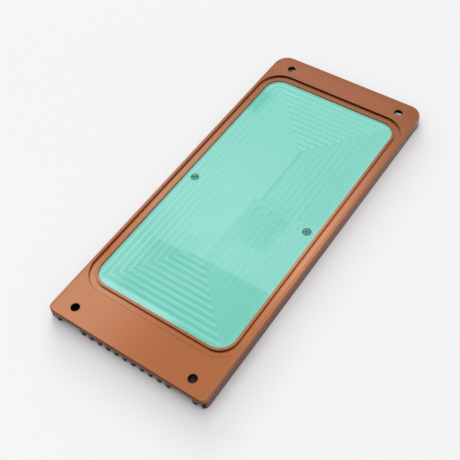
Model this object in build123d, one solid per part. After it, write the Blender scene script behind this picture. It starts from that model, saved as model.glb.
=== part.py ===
from build123d import *
import os

# A motor controller's heat sink: one machined plate lying on its fins, with its sealing face up,
# and the protective film that lies in its shallow pocket.
# X runs across the plate, Y along it towards the end with the large corners, and Z up.
# The origin is under the middle of the plate, level with the fin tips. Sizes are in millimetres.

# Plate
plate_width = 90.0
plate_length = 200.0
total_height = 6.6
base_thickness = 2.4          # from the land down to the roofs of the fin channels
near_corner_radius = 3.5
far_corner_radius = 7.7
land_chamfer = 0.5            # round the outer edge of the land
foot_chamfer = 0.2            # round the outer edge of the underside

# Fins, which run from end to end; the outer two are flush with the plate's long sides
fin_count = 19
fin_root_thickness = 2.2
fin_tip_thickness = 1.4
fin_root_radius = 0.4
fin_tip_radius = 0.4

# Land, from the plate's edges to the seal groove
side_land_width = 1.8
near_land_width = 19.6
far_land_width = 14.1

# Seal groove, and the rim that is left between it and the pocket
groove_width = 3.15
groove_depth = 1.2
rim_width = 1.3
rim_edge_break = 0.15

# Shallow pocket inside the rim, for the circuit's hot side
pocket_depth = 0.8
pocket_corner_radius = 8.4

# Screw holes: a row of two near each end, and the third row halfway between them
hole_diameter = 4.3           # clearance for M4
hole_side_margin = 11.35      # from the plate's edges to the holes' axes
hole_near_margin = 7.2
hole_far_margin = 8.3
hole_edge_break = 0.2

# Room for the screw heads, milled out of the fins round each hole
head_room_width = 10.9
head_room_reach = 8.0         # from the hole's axis along the plate
head_room_shift = 1.3         # towards the middle of the plate
head_room_cutter_radius = 4.0

# Protective film on the pocket's floor
film_thickness = 0.12
film_gap = 0.2                # to the pocket's walls

# Worked out from the sizes above
overcut = 1.0
near_end = -plate_length / 2
far_end = plate_length / 2
fin_height = total_height - base_thickness
fin_pitch = (plate_width - fin_root_thickness) / (fin_count - 1)
first_channel = (fin_root_thickness + fin_pitch - plate_width) / 2
roof_width = fin_pitch - fin_root_thickness
mouth_width = fin_pitch - fin_tip_thickness
seal_width = groove_width + rim_width
pocket_near_edge = near_end + near_land_width + seal_width
pocket_far_edge = far_end - far_land_width - seal_width
pocket_width = plate_width - 2 * (side_land_width + seal_width)
pocket_length = pocket_far_edge - pocket_near_edge
pocket_middle = (pocket_near_edge + pocket_far_edge) / 2
pocket_floor = total_height - pocket_depth
near_row = near_end + hole_near_margin
far_row = far_end - hole_far_margin
middle_row = (near_row + far_row) / 2
hole_columns = (hole_side_margin - plate_width / 2, plate_width / 2 - hole_side_margin)


# The plate's outline has small corners at the near end and large ones at the far end.
def plate_outline():
    outline = Rectangle(plate_width, plate_length)
    outline = fillet(outline.vertices().group_by(Axis.Y)[0], near_corner_radius)
    return fillet(outline.vertices().group_by(Axis.Y)[-1], far_corner_radius)


# The pocket, the rim and the groove share one outline, grown step by step.
def pocket_outline(growth):
    return Pos(0, pocket_middle) * RectangleRounded(
        pocket_width + 2 * growth,
        pocket_length + 2 * growth,
        pocket_corner_radius + growth,
    )


# A cut that starts at a given depth below the land and runs out through the top.
def cut_from_land(outline, depth):
    return Pos(0, 0, total_height - depth) * extrude(outline, depth + overcut)


def plate_blank():
    blank = extrude(plate_outline(), total_height)
    blank = chamfer(blank.faces().sort_by(Axis.Z)[-1].edges(), land_chamfer)
    return chamfer(blank.faces().sort_by(Axis.Z)[0].edges(), foot_chamfer)


def seal_groove():
    ring = pocket_outline(seal_width) - pocket_outline(rim_width)
    return cut_from_land(ring, groove_depth)


# One channel between two fins, which get thinner towards their rounded tips.
def fin_channel(x):
    section = make_face(
        Polyline(
            (x - fin_pitch / 2, -overcut),
            (x - fin_pitch / 2, 0),
            (x - mouth_width / 2, 0),
            (x - roof_width / 2, fin_height),
            (x + roof_width / 2, fin_height),
            (x + mouth_width / 2, 0),
            (x + fin_pitch / 2, 0),
            (x + fin_pitch / 2, -overcut),
            close=True,
        )
    )
    roof_corners = section.vertices().group_by(Axis.Y)[-1]
    section = fillet(roof_corners, fin_root_radius)
    mouth_corners = section.vertices().group_by(Axis.Y)[1].sort_by(Axis.X)[1:3]
    section = fillet(mouth_corners, fin_tip_radius)
    return extrude(Plane.XZ * section, plate_length / 2 + overcut, both=True)


def fin_channels():
    return [fin_channel(first_channel + fin_pitch * gap) for gap in range(fin_count - 1)]


# Milled from one y to another, round-cornered, past the heads of the screws in one column.
def head_room(column, y_from, y_to):
    side = 1 if column > 0 else -1
    middle = Pos(column - side * head_room_shift, (y_from + y_to) / 2, -overcut)
    outline = RectangleRounded(head_room_width, y_to - y_from, head_room_cutter_radius)
    return middle * extrude(outline, fin_height + overcut)


def head_rooms():
    run_out = 2 * head_room_cutter_radius
    rows = (
        (near_end - run_out, near_row + head_room_reach),
        (middle_row - head_room_reach, middle_row + head_room_reach),
        (far_row - head_room_reach, far_end + run_out),
    )
    return [head_room(column, *row) for column in hole_columns for row in rows]


def screw_hole(x, y, mouth):
    bore = extrude(Circle(hole_diameter / 2), total_height + overcut)
    flare = Cone(
        hole_diameter / 2,
        hole_diameter / 2 + hole_edge_break + overcut,
        hole_edge_break + overcut,
        align=(Align.CENTER, Align.CENTER, Align.MIN),
    )
    return Pos(x, y) * (bore + Pos(0, 0, mouth - hole_edge_break) * flare)


def screw_holes():
    mouths = ((near_row, total_height), (middle_row, pocket_floor), (far_row, total_height))
    return [screw_hole(x, y, mouth) for x in hole_columns for y, mouth in mouths]


def heat_sink():
    plate = plate_blank()
    plate -= cut_from_land(pocket_outline(0), pocket_depth)
    plate -= seal_groove()
    land_faces = plate.faces().filter_by(Axis.Z).filter_by(
        lambda face: abs(face.center().Z - total_height) < overcut / 10
    )
    rim = land_faces.sort_by(SortBy.AREA)[0]
    border = land_faces.sort_by(SortBy.AREA)[-1]
    plate = chamfer(rim.edges() + border.inner_wires()[0].edges(), rim_edge_break)
    plate -= fin_channels()
    plate -= head_rooms()
    plate -= screw_holes()
    return plate


def protective_film():
    return Pos(0, 0, pocket_floor) * extrude(pocket_outline(-film_gap), film_thickness)


os.makedirs("parts", exist_ok=True)
export_step(heat_sink(), "parts/heat_sink.step")
export_step(protective_film(), "parts/protective_film.step")
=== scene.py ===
import math
import bmesh
import bpy
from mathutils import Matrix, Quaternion, Vector


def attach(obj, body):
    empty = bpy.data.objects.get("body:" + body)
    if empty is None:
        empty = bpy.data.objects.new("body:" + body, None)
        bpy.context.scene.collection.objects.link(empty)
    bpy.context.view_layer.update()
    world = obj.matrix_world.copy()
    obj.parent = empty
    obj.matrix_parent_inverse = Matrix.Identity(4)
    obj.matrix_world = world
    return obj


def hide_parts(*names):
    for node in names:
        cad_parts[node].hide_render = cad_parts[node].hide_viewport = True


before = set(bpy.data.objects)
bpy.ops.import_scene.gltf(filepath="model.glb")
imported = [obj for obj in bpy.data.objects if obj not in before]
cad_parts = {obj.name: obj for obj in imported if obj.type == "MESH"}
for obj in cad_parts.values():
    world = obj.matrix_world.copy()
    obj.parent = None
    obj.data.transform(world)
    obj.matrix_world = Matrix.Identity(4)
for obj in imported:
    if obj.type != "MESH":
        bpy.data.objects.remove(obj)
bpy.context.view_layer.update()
print("frame: the CAD plate and film are loaded")

# places and sizes are in mm, unless a comment says otherwise
mm = 0.001
bumpHeight = 0.03


def newNode(tree, kind, **settings):
    node = tree.nodes.new(kind)
    for name, value in settings.items():
        setattr(node, name, value)
    return node


def plug(tree, entry, value):
    if isinstance(value, Field):
        value = value.socket
    if isinstance(value, bpy.types.NodeSocket):
        tree.links.new(value, entry)
    else:
        entry.default_value = value


# a value that varies over a material; sums and products of fields become Math nodes
class Field:
    def __init__(self, tree, socket):
        self.tree = tree
        self.socket = socket

    def math(self, operation, *others):
        node = newNode(self.tree, "ShaderNodeMath", operation=operation)
        for entry, value in zip(node.inputs, (self, *others)):
            plug(self.tree, entry, value)
        return Field(self.tree, node.outputs[0])

    def __add__(self, other):
        return self.math("ADD", other)

    def __sub__(self, other):
        return self.math("SUBTRACT", other)

    def __rsub__(self, other):
        return Field(self.tree, other).math("SUBTRACT", self)

    def __mul__(self, other):
        return self.math("MULTIPLY", other)

    def __truediv__(self, other):
        return self.math("DIVIDE", other)

    def __pow__(self, other):
        return self.math("POWER", other)

    def __abs__(self):
        return self.math("ABSOLUTE")

    __radd__ = __add__
    __rmul__ = __mul__


def least(first, *others):
    for other in others:
        first = first.math("MINIMUM", other)
    return first


def most(first, *others):
    for other in others:
        first = first.math("MAXIMUM", other)
    return first


def length(alongX, alongY):
    return (alongX * alongX + alongY * alongY).math("SQRT")


# 0 to 1 as value goes from low to high, eased at both ends; low may be above high
def ease(value, low, high):
    node = newNode(value.tree, "ShaderNodeMapRange", interpolation_type="SMOOTHSTEP")
    start, end = (1.0, 0.0) if low > high else (0.0, 1.0)
    settings = {
        "Value": value,
        "From Min": min(low, high),
        "From Max": max(low, high),
        "To Min": start,
        "To Max": end,
    }
    for name, setting in settings.items():
        plug(value.tree, node.inputs[name], setting)
    return Field(value.tree, node.outputs["Result"])


# A level that differs from place to place is a list of numbers, which hold everywhere, and areas.
# An area adds its "by", or 1, where its ramps are full. A ramp is two numbers on one of the fields in at:
# where it starts and where it is full. So "x": (0, 8, 26, 19) is full from 8 to 19.
def level(at, parts):
    result = 0.0
    for part in parts:
        if isinstance(part, dict):
            area = part.get("by", 1.0)
            for axis, ramps in part.items():
                if axis != "by":
                    for low, high in zip(ramps[::2], ramps[1::2]):
                        area = ease(at[axis], low, high) * area
            part = area
        result = part + result
    return result


# a Mix node's inputs go by number: the factor, then the two values of its data type
def blend(factor, first, second):
    node = newNode(factor.tree, "ShaderNodeMix", data_type="FLOAT")
    for place, value in ((0, factor), (2, first), (3, second)):
        plug(factor.tree, node.inputs[place], value)
    return Field(factor.tree, node.outputs[0])


def blendColour(factor, first, second):
    node = newNode(factor.tree, "ShaderNodeMix", data_type="RGBA")
    plug(factor.tree, node.inputs[0], factor)
    for place, colour in ((6, first), (7, second)):
        plug(factor.tree, node.inputs[place], colour if isinstance(colour, Field) else (*colour, 1.0))
    return Field(factor.tree, node.outputs[2])


# a noise from 0 to 1, mostly about 0.5, whose grain is size mm wide along each axis
def grain(place, size, detail, roughness=0.55):
    tree = place.tree
    mapping = newNode(tree, "ShaderNodeMapping")
    mapping.inputs["Scale"].default_value = [1.0 / s for s in size]
    plug(tree, mapping.inputs["Vector"], place)
    noise = newNode(tree, "ShaderNodeTexNoise")
    noise.inputs["Scale"].default_value = 1.0
    noise.inputs["Detail"].default_value = detail
    noise.inputs["Roughness"].default_value = roughness
    plug(tree, noise.inputs["Vector"], mapping.outputs[0])
    return Field(tree, noise.outputs[0])


# object coordinates in mm, as one vector and as x, y, z
def placeInMm(tree):
    coords = newNode(tree, "ShaderNodeTexCoord")
    scaled = newNode(tree, "ShaderNodeVectorMath", operation="SCALE")
    plug(tree, scaled.inputs[0], coords.outputs["Object"])
    scaled.inputs["Scale"].default_value = 1.0 / mm
    parts = newNode(tree, "ShaderNodeSeparateXYZ")
    plug(tree, parts.inputs[0], scaled.outputs[0])
    return [Field(tree, socket) for socket in (scaled.outputs[0], *parts.outputs)]


def startMaterial(name):
    material = bpy.data.materials.new(name)
    material.use_nodes = True
    tree = material.node_tree
    return material, tree, tree.nodes["Principled BSDF"]


def addBump(tree, shader, relief, strength):
    bump = newNode(tree, "ShaderNodeBump")
    bump.inputs["Strength"].default_value = strength
    bump.inputs["Distance"].default_value = bumpHeight * mm
    plug(tree, bump.inputs["Height"], relief)
    plug(tree, shader.inputs["Normal"], bump.outputs[0])


# how the pocket floor was milled: passes a step apart, along the sides and across both ends
milling = {
    "halfWidth": 38.75,
    "nearEdge": -75.95,
    "farEdge": 81.45,
    "corner": 8.4,
    "step": 3.45,                 # between two passes
    "turn": 8.0,                  # how far from the far left corner the passes start to turn
    "lines": {"left": -32.6, "right": 31.2, "near": -69.7, "far": 75.25},    # one bright line of each set
    "lean": {"below": 8.0, "slope": -0.02},   # the right passes lean a little in the near half
    "seams": {"near": 0.6, "far": 4.0},       # where the left passes meet the right ones
    "seamTurn": 3.6,                          # the seam steps over here
    "nearTip": {"y": -39.6, "left": -8.0, "right": 0.2, "leftSlope": 0.79, "rightSlope": 1.0},
    "farTip": {"y": 42.2, "left": 2.4, "right": 3.8, "leftSlope": 0.925, "rightSlope": 0.836},
    "soft": 0.4,                  # half the width over which one set of passes gives way to the next
    "turnSoft": 0.2,
    "wobble": 0.08,               # in steps
    "sharp": {"left": 5.0, "right": 1.4, "near": 1.4, "far": 1.4, "turn": 2.5},    # the more, the narrower
    # how strongly each set of passes shows as lighter and darker lines
    "passes": {
        "left": [0.07, {"x": (0, -40), "by": 0.22}, {"x": (0, -40), "y": (6, -53), "by": 0.82}],
        "rightNear": [0.15, {"x": (22, 28), "by": -0.08}],
        "rightFar": [0.17, {"x": (12, 19), "y": (56, 44), "by": 0.09}, {"x": (26, 30), "by": -0.16}],
        "near": [0.76, {"x": (-5, -26), "by": -0.26}, {"y": (-66, -54), "by": -0.152},
                 {"x": (-5, -26), "y": (-66, -54), "by": 0.052}],
        "far": [0.62, {"y": (48.2, 72.2), "by": -0.37}, {"x": (0, -24), "by": 0.34}],
        "turn": 0.9,
        "hook": [1.0, {"inside": (2.4, 0.6), "by": 0.6}],     # the cross passes end in stronger hooks
        "patchy": (0.65, 0.7),    # least, and how much more patches of it show
        # finer lines between the passes on the right
        "fineNear": 0.07,
        "fineFar": [0.21, {"x": (24, 30), "by": -0.08}],
        # the dark seam, and its fainter run in the near half
        "seamNear": 0.08,
        "seamFar": 0.5,
        "seamEdge": (0.65, 0.15),
        # chatter where the two halves meet on the right
        "chatter": [{"y": (-6.5, -2.5, 5.5, 1.5), "by": 1.5}],
        "streaks": 0.16,
        "clouds": 0.16,
    },
    # size along each axis, and detail
    "grains": {
        "wobble": ((9.0, 9.0, 9.0), 2.0),
        "patchy": ((14.0, 14.0, 14.0), 2.0),
        "chatter": ((2.0, 1.1, 1.0), 2.0),
        "across": ((11.0, 0.5, 5.0), 3.0),
        "along": ((0.5, 11.0, 5.0), 3.0),
        "clouds": ((22.0, 30.0, 22.0), 3.0),
    },
    # how light the large areas are, from 0 to 1
    "tones": {
        "anywhere": [
            0.6,
            {"x": (0.5, 8, 26.5, 19), "y": (-27, -17, 9, -1), "by": -0.32},     # left of the right hole
            {"x": (-29, -35), "y": (50, 58, 74, 66), "by": -0.6},               # by the far left corner
            {"x": (16, 2), "y": (-71.5, -75.2), "by": 0.7},                     # along the near edge
            {"x": (0, -10), "y": (-24, -37, -54, -46), "by": -0.13},            # round the near tip
        ],
        "glow": [{"fromGlow": (58, 8), "by": 0.26}],
        "farRight": -0.12,
        "nearRight": [{"x": (8, 3), "by": -0.15}],            # beside the seam in the near half
        "nearLeft": [{"x": (-2.9, -1.8, -0.1, -1.2), "by": 0.1}],
        # the last cut at the near end is darker; on the left its edge lies nearer to that end
        "lastCut": [{"x": (-33, -22), "cut": (-38.6, -40.6), "by": -0.42}],
        "lastCutEdge": [{"x": (6, -8), "by": 1.6}],
    },
    "glow": {"x": -12.0, "y": -22.0, "squash": 0.5},    # its middle; it is longer along the plate
}


# distance from the pocket's outline, outwards
def fromPocket(x, y):
    m = milling
    corner = m["corner"]
    halfLength = (m["farEdge"] - m["nearEdge"]) / 2
    middle = (m["farEdge"] + m["nearEdge"]) / 2
    overX = abs(x) - (m["halfWidth"] - corner)
    overY = abs(y - middle) - (halfLength - corner)
    outside = length(most(overX, 0.0), most(overY, 0.0))
    inside = least(most(overX, overY), 0.0)
    return outside + inside - corner


# how light the milled floor is, from 0 to 1, and the tool's fine streaks
def milledFloor(place, x, y):
    m = milling
    passes, tones, grains = m["passes"], m["tones"], m["grains"]
    at = {"x": x, "y": y}
    wobble = grain(place, *grains["wobble"]) - 0.5

    # 1 where a depth is above 0, and 0 where it is below
    def within(depth, soft=m["soft"]):
        return ease(depth, -soft, soft)

    # how far a point lies inside the field of cross passes at one end
    def insideTip(tip, beyond):
        left = beyond * tip["leftSlope"] + (x - tip["left"])
        right = beyond * tip["rightSlope"] + (tip["right"] - x)
        return least(left, right, beyond)

    # crests a step apart, about 0
    def wave(along, start, sharp):
        turns = wobble * m["wobble"] + (along - start) / m["step"]
        swing = (turns * (2 * math.pi)).math("COSINE")
        mean = math.gamma(sharp + 0.5) / (math.sqrt(math.pi) * math.gamma(sharp + 1.0))
        return (swing * 0.5 + 0.5) ** sharp - mean

    insideNear = insideTip(m["nearTip"], m["nearTip"]["y"] - y)
    insideFar = insideTip(m["farTip"], y - m["farTip"]["y"])
    # at the far left corner the passes turn round instead of meeting at a point
    inX = m["turn"] - m["halfWidth"] - x
    inY = y - (m["farEdge"] - m["turn"])
    turnDepth = m["turn"] - length(inX, inY)
    atTurn = within(inX, m["turnSoft"]) * within(inY, m["turnSoft"])
    atNear = within(insideNear)
    atFar = within(insideFar) * (1.0 - atTurn)
    atSide = (1.0 - atNear - atFar) * (1.0 - atTurn)
    farHalf = within(y - m["seamTurn"])
    nearHalf = 1.0 - farHalf
    fromSeam = x - blend(farHalf, m["seams"]["near"], m["seams"]["far"])
    right = within(fromSeam) * atSide
    left = atSide - right

    start, sharp = m["lines"], m["sharp"]
    leant = x + most(m["lean"]["below"] - y, 0.0) * m["lean"]["slope"]
    leftShown = level(at, passes["left"])
    rightShown = blend(farHalf, level(at, passes["rightNear"]), level(at, passes["rightFar"]))
    nearShown = level(at, passes["near"]) * level({"inside": insideNear}, passes["hook"])
    farShown = level(at, passes["far"]) * level({"inside": insideFar}, passes["hook"])
    lines = (wave(x, start["left"], sharp["left"]) * left * leftShown
             + wave(leant, start["right"], sharp["right"]) * right * rightShown
             + wave(y, start["near"], sharp["near"]) * atNear * nearShown
             + wave(y, start["far"], sharp["far"]) * atFar * farShown
             + wave(turnDepth, m["halfWidth"] + start["left"], sharp["turn"]) * atTurn * passes["turn"])
    leastShown, patches = passes["patchy"]
    lines = lines * (grain(place, *grains["patchy"]) * patches + leastShown)
    fine = ((x - start["right"]) * (4 * math.pi / m["step"])).math("COSINE")
    fine = fine * right * blend(farHalf, passes["fineNear"], level(at, passes["fineFar"]))
    seamShown = blend(farHalf, passes["seamNear"], passes["seamFar"])
    seam = ease(abs(fromSeam), *passes["seamEdge"]) * atSide * seamShown

    glowX, glowY = x - m["glow"]["x"], y - m["glow"]["y"]
    fromGlow = (glowX * glowX + glowY * glowY * m["glow"]["squash"]).math("SQRT")
    cut = {"x": x, "cut": y + level(at, tones["lastCutEdge"])}
    tone = (level(at, tones["anywhere"])
            + level({"fromGlow": fromGlow}, tones["glow"])
            + level(cut, tones["lastCut"])
            + right * farHalf * tones["farRight"]
            + right * nearHalf * level(at, tones["nearRight"])
            + left * nearHalf * level(at, tones["nearLeft"]))

    chatter = (grain(place, *grains["chatter"]) - 0.5) * right * level(at, passes["chatter"])
    # streaks run along the passes
    across, along = [grain(place, *grains[name]) - 0.5 for name in ("across", "along")]
    streaks = blend(atSide, across, along)
    clouds = grain(place, *grains["clouds"]) - 0.5
    light = tone + lines + fine - seam + chatter + streaks * passes["streaks"] + clouds * passes["clouds"]
    return light, streaks


cameraSettings = {
    "place": (165.73, -206.06, 333.21),
    "aim": (3.31, -1.94, 6.6),
    "roll": 5.642,                          # degrees
    "lens": 66.334,
    "sensor": 36.0,
    "shift": (-0.05, -0.05),
    "clip": (0.01, 20.0),                   # m
}


def makeCamera():
    c = cameraSettings
    data = bpy.data.cameras.new("studioCamera")
    data.sensor_width = c["sensor"]
    data.lens = c["lens"]
    data.shift_x, data.shift_y = c["shift"]
    data.clip_start, data.clip_end = c["clip"]
    camera = bpy.data.objects.new("studioCamera", data)
    bpy.context.scene.collection.objects.link(camera)
    place, aim = Vector(c["place"]) * mm, Vector(c["aim"]) * mm
    camera.rotation_mode = "QUATERNION"
    camera.location = place
    look = (aim - place).to_track_quat("-Z", "Y")
    camera.rotation_quaternion = look @ Quaternion((0, 0, 1), math.radians(-c["roll"]))
    bpy.context.scene.camera = camera


makeCamera()
print("camera: set at the photograph's angle")

plate = {
    "copper": (0.335, 0.125, 0.056),
    "copperDeep": (0.29, 0.104, 0.045),
    "sheen": (0.45, 0.184, 0.09),          # painted sheen on the land along the right
    "sheenGroove": (0.47, 0.22, 0.122),    # in the groove there
    "sheenLeft": (0.41, 0.225, 0.14),      # along the left
    "sheenGrooveLeft": (0.48, 0.3, 0.2),   # and in the groove there
    "farTone": (0.35, 0.128, 0.067),       # the land's far end
    "shade": (0.255, 0.088, 0.035),        # its deeper tone at the near right and the far right
    "sideLand": (0.27, 0.112, 0.055),      # strips outside the groove on both sides
    # painted shade on the chamfers of the sides and the near end, and on the groove's outer edge at the near
    # right
    "chamfer": (0.15, 0.045, 0.014),
    "lit": (0.53, 0.215, 0.073),           # groove walls that face right
    "wallShade": (0.045, 0.002, 0.0),            # painted shade on groove walls that face the near end
    "flank": (0.30, 0.165, 0.14),          # long sides and fins
    "flankDeep": (0.195, 0.09, 0.075),
    "flankTop": (0.30, 0.125, 0.075),
    "flankLow": (0.31, 0.2, 0.195),
    "endShade": (0.175, 0.057, 0.036),         # painted shade on both ends, darker than the sides
    "finTipShade": (0.035, 0.01, 0.008),      # painted shade, near black, on the fin tips at the near end
    "under": (0.07, 0.04, 0.034),          # painted shade in the channels between the fins and head rooms
    "underShadeDeep": (0.012, 0.005, 0.004),    # deeper painted shade where they come out at the near end
    # painted shade inside the screw holes
    "bore": (0.012, 0.008, 0.007),
    "edgeHighlight": (0.42, 0.19, 0.1),             # painted highlights on the edges
    "floorDark": (0.235, 0.72, 0.555),     # milled floor, in the film's tint
    "floorLight": (0.46, 0.85, 0.74),
    "metallic": 0.85,
    "specular": 0.25,
    "roughness": {"all": 0.3, "satin": 0.16, "clouds": 0.02, "outer": 0.08},
    "bump": 0.25,
    "relief": {"satin": 0.5, "outerBrushed": 0.9, "outerSatin": 0.4, "floorStreaks": 0.8},
    # size along each axis, detail and, for one, roughness
    "grains": {
        "clouds": ((40.0, 60.0, 20.0), 1.0),    # slow changes of the dye
        "satin": ((0.28, 0.28, 0.28), 2.0, 0.7),
        "brushed": ((0.35, 26.0, 0.6), 3.0),
        "edgeGlint": ((3.0, 3.0, 3.0), 3.0),
    },
    "dye": {"clouds": 0.15, "satin": 0.3},
    "flankDye": {"all": -0.35, "brushed": 0.8, "satin": 0.3},
    # how strongly the painted edge highlights show, in patches
    "edgeGlint": {"by": 0.25, "patches": (0.35, 0.7), "outermost": 1.6},
    "shadedEdge": 0.3,                       # painted shade on the groove's outer edge at the near right
    "borderShift": -55.0,                  # brings the near end level with the sides
    "edgesAt": (0.1, 1.2, 4.55),           # of the rim and the groove, outwards from the pocket
    "edgeWidth": (0.3, 0.1),
    "holeColumn": 33.65,
    "holeRows": (-92.8, -0.55, 91.7),
    "holeReach": (2.3, 2.2),
    # Where the tones above show. Besides x, y and z: across is the distance from the middle line and along
    # from the middle of the length, out goes outwards from the pocket, border is above 44.5 on the land's
    # edge, farLeft goes towards the far left corner, and the face ones are a face's normal.
    "marks": {
        "toRight": [{"x": (-28, 25)}],
        "sheenArea": [{"y": (-62, -12, 100, -5), "by": 0.35},
                  {"y": (-62, -12, 100, -5), "x": (-28, 25), "by": 0.55}],
        "sheenNearArea": [{"y": (-60, -80), "x": (25, -28), "by": 0.3}],
        "inGroove": [{"out": (1.3, 1.5, 4.45, 4.3)}],
        "farTone": [{"y": (82, 90), "by": 0.8}],
        "shadeNear": [{"y": (-60, -80), "x": (-28, 25)}],
        "shadeCorner": [{"x": (20, 42), "y": (75, 95), "by": 0.55}],
        "shadeFar": [{"y": (94, 99), "by": 0.3}],
        "sideLand": [{"across": (43.15, 43.3), "z": (6.3, 6.4), "by": 0.5},
                     {"across": (43.15, 43.3), "z": (6.3, 6.4), "x": (-28, 25), "by": -0.2}],
        "chamfer": [{"border": (44.5, 44.6), "z": (6.0, 6.15), "by": 0.5}],
        "grooveWall": [{"out": (1.2, 1.28), "z": (6.45, 6.35, 5.42, 5.5)}],
        "lit": [{"faceX": (0.2, 0.9), "by": 0.9}],
        "wallShade": [{"faceY": (-0.2, -0.9), "by": 0.5}, {"faceY": (-0.2, -0.9), "y": (-50, 50), "by": 0.45}],
        "upward": [{"faceZ": (0.5, 0.8)}],
        "sides": [{"across": (44.3, 44.7)}],
        "ends": [{"along": (99.3, 99.7)}],
        "below": [{"z": (4.6, 4.4)}],
        "flank": [{"y": (-95, 30), "by": 0.9}],
        "flankLow": [{"z": (5.6, 1.5), "by": 0.5}],
        "flankTop": [{"z": (4.6, 6.0), "by": 0.6}],
        "finTipShade": [{"z": (4.2, 1.8), "y": (-99.3, -99.6)}],
        "under": [{"y": (91, 84)}],
        "underShadeDeep": [{"y": (-93, -97)}],
        "onTop": [{"z": (6.3, 6.5)}],
        "farLeft": [{"farLeft": (-20, 20)}],
        "floor": [{"z": (5.76, 5.78, 5.84, 5.82), "faceZ": (0.5, 0.8)}],
    },
}


# 1 within a screw hole's bore
def inHole(x, y):
    p = plate
    fromColumn = abs(x) - p["holeColumn"]
    fromRow = least(*[abs(y - row) for row in p["holeRows"]])
    return ease(length(fromColumn, fromRow), *p["holeReach"])


def copperMaterial():
    p = plate
    material, tree, shader = startMaterial("anodisedCopperBrown")
    place, x, y, z = placeInMm(tree)
    facing = newNode(tree, "ShaderNodeSeparateXYZ")
    plug(tree, facing.inputs[0], newNode(tree, "ShaderNodeNewGeometry").outputs["Normal"])
    faceX, faceY, faceZ = [Field(tree, socket) for socket in facing.outputs]
    across = abs(x)
    out = fromPocket(x, y)
    at = {"x": x, "y": y, "z": z, "across": across, "along": abs(y), "out": out, "farLeft": y - x,
          "border": most(across, p["borderShift"] - y), "faceX": faceX, "faceY": faceY, "faceZ": faceZ}
    marks = {name: level(at, parts) for name, parts in p["marks"].items()}

    clouds = grain(place, *p["grains"]["clouds"]) - 0.5
    satin = grain(place, *p["grains"]["satin"]) - 0.5
    brushed = grain(place, *p["grains"]["brushed"])
    dye = clouds * p["dye"]["clouds"] + satin * p["dye"]["satin"] + 0.5
    copper = blendColour(dye, p["copperDeep"], p["copper"])
    # broad tones of the land and the groove: a painted sheen along the right and at the near left, painted
    # shade at the near right and the far right
    copper = blendColour(marks["farTone"], copper, p["farTone"])
    sheenLeft = blendColour(marks["inGroove"], p["sheenLeft"], p["sheenGrooveLeft"])
    sheenRight = blendColour(marks["inGroove"], p["sheen"], p["sheenGroove"])
    sheen = blendColour(marks["toRight"], sheenLeft, sheenRight)
    copper = blendColour(most(marks["sheenArea"], marks["sheenNearArea"]), copper, sheen)
    shade = most(marks["shadeNear"], marks["shadeCorner"], marks["shadeFar"])
    copper = blendColour(shade, copper, p["shade"])
    # darker strips outside the groove; the chamfers are painted with shade
    for name in ("sideLand", "chamfer"):
        copper = blendColour(marks[name], copper, p[name])
    # groove walls: painted light where they face right, painted shade where they face the near end
    for name in ("lit", "wallShade"):
        copper = blendColour(marks["grooveWall"] * marks[name], copper, p[name])

    # the outer faces are duller and mauve; the ends, the fin tips and everything under the base are painted
    # with shade
    ends = most(marks["sides"], marks["ends"])
    outer = most(ends, marks["below"]) * (1.0 - marks["upward"])
    dye = brushed * p["flankDye"]["brushed"] + satin * p["flankDye"]["satin"] + p["flankDye"]["all"]
    flank = blendColour(dye + marks["flank"], p["flankDeep"], p["flank"])
    for name in ("flankLow", "flankTop"):
        flank = blendColour(marks[name], flank, p[name])
    # painted shade on the ends and on the fin tips at the near end
    endShade = blendColour(marks["finTipShade"], p["endShade"], p["finTipShade"])
    flank = blendColour(marks["ends"], flank, endShade)
    # painted shade under the base, except at the far head rooms
    under = marks["below"] * (1.0 - ends) * marks["under"]
    underShadeTone = blendColour(marks["underShadeDeep"], p["under"], p["underShadeDeep"])
    # painted shade inside the screw holes
    bore = inHole(x, y) * (1.0 - marks["upward"])
    colour = blendColour(outer, copper, flank)
    colour = blendColour(under, colour, underShadeTone)
    colour = blendColour(bore, colour, p["bore"])

    # painted highlights on the edges of the rim and the groove, in patches; the outer edge gets them towards
    # the far left, and painted shade at the near right
    inner, middle, outermost = [ease(abs(out - edge), *p["edgeWidth"]) for edge in p["edgesAt"]]
    highlitEdges = most(inner, middle, outermost * marks["farLeft"] * p["edgeGlint"]["outermost"])
    patches = ease(grain(place, *p["grains"]["edgeGlint"]), *p["edgeGlint"]["patches"])
    colour = blendColour(highlitEdges * marks["onTop"] * patches * p["edgeGlint"]["by"], colour, p["edgeHighlight"])
    shadedEdge = outermost * (1.0 - marks["farLeft"]) * marks["onTop"] * p["shadedEdge"]
    colour = blendColour(shadedEdge, colour, p["chamfer"])

    # the milled floor
    light, streaks = milledFloor(place, x, y)
    colour = blendColour(marks["floor"], colour, blendColour(light, p["floorDark"], p["floorLight"]))
    plug(tree, shader.inputs["Base Color"], colour)
    shader.inputs["Specular IOR Level"].default_value = p["specular"]
    plug(tree, shader.inputs["Metallic"], blend(marks["floor"], p["metallic"], 0.0))
    dull = p["roughness"]
    roughness = satin * dull["satin"] + clouds * dull["clouds"] + outer * dull["outer"] + dull["all"]
    plug(tree, shader.inputs["Roughness"], roughness)
    r = p["relief"]
    relief = blend(outer, satin * r["satin"], brushed * r["outerBrushed"] + satin * r["outerSatin"])
    relief = blend(marks["floor"], relief, streaks * r["floorStreaks"])
    addBump(tree, shader, relief, p["bump"])
    return material


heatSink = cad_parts["heat_sink"]
for slotOfPlate in heatSink.material_slots:
    slotOfPlate.material = copperMaterial()
print("plate: anodised material set")

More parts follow.
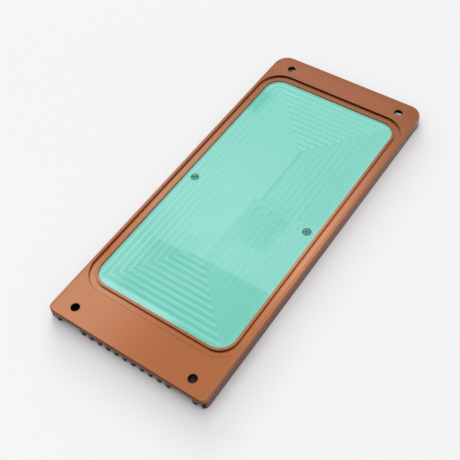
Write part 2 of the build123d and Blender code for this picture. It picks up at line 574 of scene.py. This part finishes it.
filmSheet = {
    "gap": 0.2,            # to the pocket's walls
    "corner": 8.2,
    "arcSteps": 8,
    "under": 5.806,        # height of its underside
    "over": 5.895,         # height of its top between the ridges
    "samples": 6,          # loops of mesh in one pass
    "middleStrip": 0.3,    # half the width that the loops leave in the middle
    "cornerSlack": 0.05,   # the round corners are merged this far before they run out
    "cornerBunch": 1.0,    # how far round a corner its points are merged
    "leastLoop": 0.2,      # loops closer than this to that one are left out
    "straight": 0.02,      # an edge within this of straight belongs to a side
    "cutsAlong": 60,
    "cutsAcross": 30,
    "longEdge": 1.2,       # edges longer than this are cut into rows
    "ridge": 0.022,        # how far the passes stand through it
    "edgeFade": 3.0,       # the ridges rise over this distance from the edge
    # how much of the ridge shows in each set of passes
    "ridges": {"near": 1.0, "far": 0.7, "rightNear": 0.25, "rightFar": 0.7, "leftFar": 0.2, "leftNear": 1.0},
    "leftRamp": (5.0, 50.0),       # on the left it grows from this y over this length
    "blisters": (          # x, y, half width, half length, height
        (-35.6, -27.0, 1.6, 7.0, 0.045),
        (-35.9, -45.0, 1.3, 5.0, 0.04),
        (-14.0, -73.6, 8.0, 1.4, 0.045),
        (2.0, -73.9, 5.0, 1.2, 0.03),
    ),
    "holeColumn": 33.65,
    "holeRow": -0.55,
    "holeSag": 0.05,
    "holeReach": 3.2,
    "holeEdge": 0.9,       # edges longer than this are cut again
    "holeMargin": 1.0,     # up to this far round a hole
    "holeCuts": 3,
    "dark": (0.14, 0.66, 0.60),
    "light": (0.32, 0.84, 0.79),
    # painted light along the pocket walls, against the shade they cast on the film
    "rim": (0.40, 0.88, 0.83),
    "liftedAndHighlight": (0.5, 0.95, 1.0),            # where it stands off the floor at the near edge, and a painted highlight along the right edge
    "blueGlint": (0.25, 0.78, 1.0),             # a painted bluish glint by the left edge
    "discShade": (0.08, 0.56, 0.52),        # painted shade over the two holes
    # painted reflections on the discs
    "discGlint": (0.42, 0.97, 0.93),
    "alpha": 0.2,
    "roughness": {"all": 0.3, "smudge": 0.3, "streaks": 0.12},
    "bump": 0.3,
    "relief": {"streaks": 0.7, "fine": 0.5},
    "grains": {"smudge": ((16.0, 12.0, 12.0), 3.0), "fine": ((2.5, 2.5, 2.5), 2.0)},    # size and detail
    "discEdge": (2.2, 2.1),
    "ring": {"radius": 1.2, "edge": (0.6, 0.2)},                # a painted reflection ring on the right disc
    "crescentGlints": {"slant": (0.3, 0.9), "reach": (3.0, 2.8)},    # painted reflection crescents on the left one
    "slantAcross": (0.51, -0.86),
    "marks": {
        "rim": [{"out": (-3.4, -0.6), "by": 0.55}],
        "liftedNear": [{"y": (-72.2, -74.8), "x": (18, 2), "by": 0.85}],
        "highlightRight": [{"x": (36.9, 37.9), "y": (-50, -42), "by": 0.595}],
        "blueGlint": [{"x": (-38.3, -37.3, -35.5, -36.5), "y": (-33, -29.5, -21, -24.5)}],
    },
}


def filmHeight(x, y):
    f, m, shown = filmSheet, milling, filmSheet["ridges"]
    edge = min(m["halfWidth"] - abs(x), y - m["nearEdge"], m["farEdge"] - y)

    def insideTip(tip, beyond):
        left = x - tip["left"] + beyond * tip["leftSlope"]
        right = tip["right"] - x + beyond * tip["rightSlope"]
        return min(left, right, beyond)

    if insideTip(m["nearTip"], m["nearTip"]["y"] - y) > 0:
        along, start, strength = y, m["lines"]["near"], shown["near"]
    elif insideTip(m["farTip"], y - m["farTip"]["y"]) > 0:
        along, start, strength = y, m["lines"]["far"], shown["far"]
    elif x < m["seams"]["far" if y > m["seamTurn"] else "near"]:
        along, start = x, m["lines"]["left"]
        begin, span = f["leftRamp"]
        towardsNear = min(1.0, max(0.0, (begin - y) / span))
        strength = shown["leftFar"] + (shown["leftNear"] - shown["leftFar"]) * towardsNear
    else:
        along, start, strength = x, m["lines"]["right"], shown["rightFar" if y > 0 else "rightNear"]
    ridge = 0.5 + 0.5 * math.cos(2 * math.pi * (along - start) / m["step"])
    height = f["ridge"] * strength * ridge * min(1.0, edge / f["edgeFade"])
    for blisterX, blisterY, wide, long, high in f["blisters"]:
        height += high * math.exp(-((x - blisterX) / wide) ** 2 - ((y - blisterY) / long) ** 2)
    for hx in (-f["holeColumn"], f["holeColumn"]):
        away = math.hypot(x - hx, y - f["holeRow"])
        if away < f["holeReach"]:
            height -= f["holeSag"] * (0.5 + 0.5 * math.cos(math.pi * away / f["holeReach"]))
    return height


def largestFace(bm):
    return max(bm.faces, key=lambda face: face.calc_area())


# gathers the points of each round corner into one, where the loops turn square
def mergeCorners(bm, ring, halfWidth):
    middle = (milling["nearEdge"] + milling["farEdge"]) / 2
    halfLength = max(abs(v.co.y - middle) for v in ring)
    for sideX in (-1, 1):
        for sideY in (-1, 1):
            corner = Vector((sideX * halfWidth, middle + sideY * halfLength, 0.0))
            bunch = [v for v in ring if v.is_valid and (v.co - corner).length < filmSheet["cornerBunch"]]
            bmesh.ops.pointmerge(bm, verts=bunch, merge_co=corner)


def makeFilm():
    f, m = filmSheet, milling
    bm = bmesh.new()
    filmWidth = 2 * (m["halfWidth"] - f["gap"])
    filmLength = m["farEdge"] - m["nearEdge"] - 2 * f["gap"]
    bmesh.ops.create_grid(bm, x_segments=1, y_segments=1, size=0.5)
    bmesh.ops.scale(bm, verts=bm.verts[:], vec=(filmWidth, filmLength, 1.0))
    bmesh.ops.translate(bm, verts=bm.verts[:], vec=(0.0, (m["nearEdge"] + m["farEdge"]) / 2, 0.0))
    bmesh.ops.bevel(bm, geom=bm.verts[:], offset=f["corner"], offset_type="OFFSET", segments=f["arcSteps"],
                    profile=0.5, affect="VERTICES", material=-1)
    # loops follow the passes inwards; where the round corners run out their points are merged
    loopStep = m["step"] / f["samples"]
    cornerEnd = f["corner"] * math.cos(math.pi / 4 / f["arcSteps"]) - f["cornerSlack"]
    depths = [loopStep * i for i in range(1, int((filmWidth / 2 - f["middleStrip"]) / loopStep) + 1)]
    depths = sorted([d for d in depths if abs(d - cornerEnd) > f["leastLoop"]] + [cornerEnd])
    last = 0.0
    for depth in depths:
        bmesh.ops.inset_region(bm, faces=[largestFace(bm)], thickness=depth - last, depth=0.0,
                               use_even_offset=True, use_boundary=True)
        last = depth
        if depth == cornerEnd:
            mergeCorners(bm, largestFace(bm).verts[:], filmWidth / 2 - depth)
    # rows along each side of every loop
    for axis, cuts in ((1, f["cutsAlong"]), (0, f["cutsAcross"])):
        runs = [e for e in bm.edges
                if abs((e.verts[0].co - e.verts[1].co)[1 - axis]) < f["straight"]
                and e.calc_length() > f["longEdge"]]
        bmesh.ops.subdivide_edges(bm, edges=runs, cuts=cuts, use_grid_fill=True)
    for hx in (-f["holeColumn"], f["holeColumn"]):
        hole = Vector((hx, f["holeRow"], 0.0))
        close = [e for e in bm.edges
                 if all((v.co - hole).length < f["holeReach"] + f["holeMargin"] for v in e.verts)
                 and e.calc_length() > f["holeEdge"]]
        bmesh.ops.subdivide_edges(bm, edges=close, cuts=f["holeCuts"], use_grid_fill=True)
    top = bm.faces[:]
    rim = [e for e in bm.edges if e.is_boundary]
    skirt = bmesh.ops.extrude_edge_only(bm, edges=rim)
    lower = {v for v in skirt["geom"] if isinstance(v, bmesh.types.BMVert)}
    for v in bm.verts:
        v.co.z = f["under"] if v in lower else f["over"] + filmHeight(v.co.x, v.co.y)
    bmesh.ops.holes_fill(bm, edges=[e for e in bm.edges if e.is_boundary], sides=0)
    bmesh.ops.recalc_face_normals(bm, faces=bm.faces[:])
    for face in top:
        if face.is_valid:
            face.smooth = True
    bmesh.ops.scale(bm, verts=bm.verts[:], vec=(mm, mm, mm))
    mesh = bpy.data.meshes.new("protectiveFilm")
    bm.to_mesh(mesh)
    bm.free()
    film = bpy.data.objects.new("protectiveFilm", mesh)
    bpy.context.scene.collection.objects.link(film)
    return film


def filmMaterial():
    f = filmSheet
    material, tree, shader = startMaterial("mintFilm")
    place, x, y = placeInMm(tree)[:3]
    at = {"x": x, "y": y, "out": fromPocket(x, y)}
    marks = {name: level(at, parts) for name, parts in f["marks"].items()}
    light, streaks = milledFloor(place, x, y)
    colour = blendColour(light, f["dark"], f["light"])
    # painted light along the pocket walls
    colour = blendColour(marks["rim"], colour, f["rim"])
    # it stands off the floor along the near edge, and a highlight is painted along the right edge
    colour = blendColour(most(marks["liftedNear"], marks["highlightRight"]), colour, f["liftedAndHighlight"])
    # a painted bluish glint by the left edge
    colour = blendColour(marks["blueGlint"], colour, f["blueGlint"])
    # and sags into the two holes it covers; over them shade is painted as dark discs, with painted
    # reflections of the sag, a ring on the right and crescents on the left
    overY = y - f["holeRow"]
    overX = [x - side * f["holeColumn"] for side in (-1, 1)]
    fromLeft, fromRight = [length(over, overY) for over in overX]
    ring = ease(abs(fromRight - f["ring"]["radius"]), *f["ring"]["edge"])
    slant = overX[0] * f["slantAcross"][0] + overY * f["slantAcross"][1]
    crescentGlints = ease(abs(slant), *f["crescentGlints"]["slant"]) * ease(fromLeft, *f["crescentGlints"]["reach"])
    disc = blendColour(most(ring, crescentGlints), f["discShade"], f["discGlint"])
    colour = blendColour(ease(least(fromLeft, fromRight), *f["discEdge"]), colour, disc)
    plug(tree, shader.inputs["Base Color"], colour)
    smudge = grain(place, *f["grains"]["smudge"]) - 0.5
    dull = f["roughness"]
    plug(tree, shader.inputs["Roughness"], smudge * dull["smudge"] + streaks * dull["streaks"] + dull["all"])
    shader.inputs["Alpha"].default_value = f["alpha"]
    fine = grain(place, *f["grains"]["fine"])
    addBump(tree, shader, streaks * f["relief"]["streaks"] + fine * f["relief"]["fine"], f["bump"])
    return material


film = makeFilm()
film.data.materials.append(filmMaterial())
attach(film, "root")
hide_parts("protective_film")
print("film: laid on the pocket floor,", len(film.data.polygons), "faces")

studio = {
    "floorNear": (0.948, 0.948, 0.948),
    "floorFar": (0.888, 0.888, 0.888),
    "contactShadow": (0.03, 0.026, 0.026),    # painted shadow on the floor under the plate
    "glimmer": (0.42, 0.3, 0.37),             # painted light under the near right hole
    "farGlimmer": (0.93, 0.9, 1.0),           # painted light, lilac, under the two far holes
    "tail": (0.0, 0.0, 0.0),                  # the shadow further out
    "lift": (0.93, 1.0, 1.0, 1.0),            # a faint glow beside the plate
    "roughness": 0.9,
    "floorRadius": 8.0,                       # m
    "floorSides": 64,
    "plateEdge": {"right": 45.0, "near": -100.0},
    "awayX": -0.6,
    "awayY": 0.8,
    # Where the tones above show. Besides x and y: across is the distance from the middle line, away goes
    # from the near right to the far left, and out goes outwards from the plate's near end and right side.
    "marks": {
        "far": [{"away": (-200, 250)}],
        "underPlate": [{"across": (43.5, 41.5), "y": (-98.5, -96, 88, 80)}],
        "glimmer": [{"x": (24, 27), "y": (-86.5, -91)}],
        "farGlimmer": [{"across": (44.5, 43.5), "y": (86.5, 87.5, 99.5, 98.5)}],
        # the shadow is softer than the lamps make it: deeper further out, lighter beside the plate
        "tail": [{"out": (4, 10, 28, 10), "x": (-45, -20), "y": (105, 85), "by": 0.04},
                 {"out": (4, 10, 28, 10), "x": (-45, -20), "y": (105, 85, -40, -70), "by": 0.026}],
        "lift": [{"x": (52, 45, 44.5, 45), "y": (99, 87, -103, -95), "by": 0.09},
                 {"x": (52, 45, 44.5, 45), "y": (99, 87, -103, -95, -70, -45), "by": 0.09}],
    },
    "backdrop": (0.905, 0.905, 0.905),
    "skyColour": (1.0, 1.0, 1.0),
    "skyStrength": 0.515,
    # name: place in m, width in m, watts, whether the metal mirrors it
    "lamps": {
        "keyLight": ((-1.6, 0.4, 3.9), 5.0, 64.0, True),
        "lowLight": ((-2.2, 2.8, 1.7), 3.0, 94.0, False),
    },
}


def floorMaterial():
    s = studio
    material, tree, shader = startMaterial("paleFloor")
    x, y = placeInMm(tree)[1:3]
    out = length(most(x - s["plateEdge"]["right"], 0.0), most(s["plateEdge"]["near"] - y, 0.0))
    at = {"x": x, "y": y, "across": abs(x), "away": x * s["awayX"] + y * s["awayY"], "out": out}
    marks = {name: level(at, parts) for name, parts in s["marks"].items()}
    pale = blendColour(marks["far"], s["floorNear"], s["floorFar"])
    # painted light under the far holes, and the painted shadow further out
    for name in ("farGlimmer", "tail"):
        pale = blendColour(marks[name], pale, s[name])
    # painted shadow under the plate, with painted light under the near right hole
    shadowUnderPlate = blendColour(marks["glimmer"], s["contactShadow"], s["glimmer"])
    plug(tree, shader.inputs["Base Color"], blendColour(marks["underPlate"], pale, shadowUnderPlate))
    seen = newNode(tree, "ShaderNodeLightPath").outputs["Is Camera Ray"]
    plug(tree, shader.inputs["Emission Color"], s["lift"])
    plug(tree, shader.inputs["Emission Strength"], marks["lift"] * seen)
    shader.inputs["Roughness"].default_value = s["roughness"]
    shader.inputs["Specular IOR Level"].default_value = 0.0
    return material


def makeFloor():
    bm = bmesh.new()
    bmesh.ops.create_circle(bm, cap_ends=True, segments=studio["floorSides"], radius=studio["floorRadius"])
    mesh = bpy.data.meshes.new("studioFloor")
    bm.to_mesh(mesh)
    bm.free()
    floor = bpy.data.objects.new("studioFloor", mesh)
    bpy.context.scene.collection.objects.link(floor)
    mesh.materials.append(floorMaterial())


# the world lights the scene as a sky, and shows as the backdrop to the camera, metal and glass
def makeWorld():
    world = bpy.data.worlds.new("studioWorld")
    world.use_nodes = True
    tree = world.node_tree
    tree.nodes.clear()
    path = newNode(tree, "ShaderNodeLightPath").outputs
    rays = [Field(tree, path[name]) for name in ("Is Camera Ray", "Is Glossy Ray", "Is Transmission Ray")]
    sky = newNode(tree, "ShaderNodeBackground")
    sky.inputs["Color"].default_value = (*studio["skyColour"], 1.0)
    sky.inputs["Strength"].default_value = studio["skyStrength"]
    back = newNode(tree, "ShaderNodeBackground")
    back.inputs["Color"].default_value = (*studio["backdrop"], 1.0)
    mixed = newNode(tree, "ShaderNodeMixShader")
    plug(tree, mixed.inputs[0], least(rays[0] + rays[1] + rays[2], 1.0))
    tree.links.new(sky.outputs[0], mixed.inputs[1])
    tree.links.new(back.outputs[0], mixed.inputs[2])
    tree.links.new(mixed.outputs[0], newNode(tree, "ShaderNodeOutputWorld").inputs[0])
    bpy.context.scene.world = world


def makeLights():
    for name, (place, width, power, mirrored) in studio["lamps"].items():
        data = bpy.data.lights.new(name, "AREA")
        data.shape = "DISK"
        data.size = width
        data.energy = power
        light = bpy.data.objects.new(name, data)
        bpy.context.scene.collection.objects.link(light)
        light.location = place
        light.visible_glossy = mirrored
        light.rotation_mode = "QUATERNION"
        light.rotation_quaternion = (-Vector(place)).to_track_quat("-Z", "Y")


makeFloor()
makeWorld()
makeLights()
bpy.context.scene.view_settings.view_transform = "Standard"
print("studio: floor, backdrop and light set")
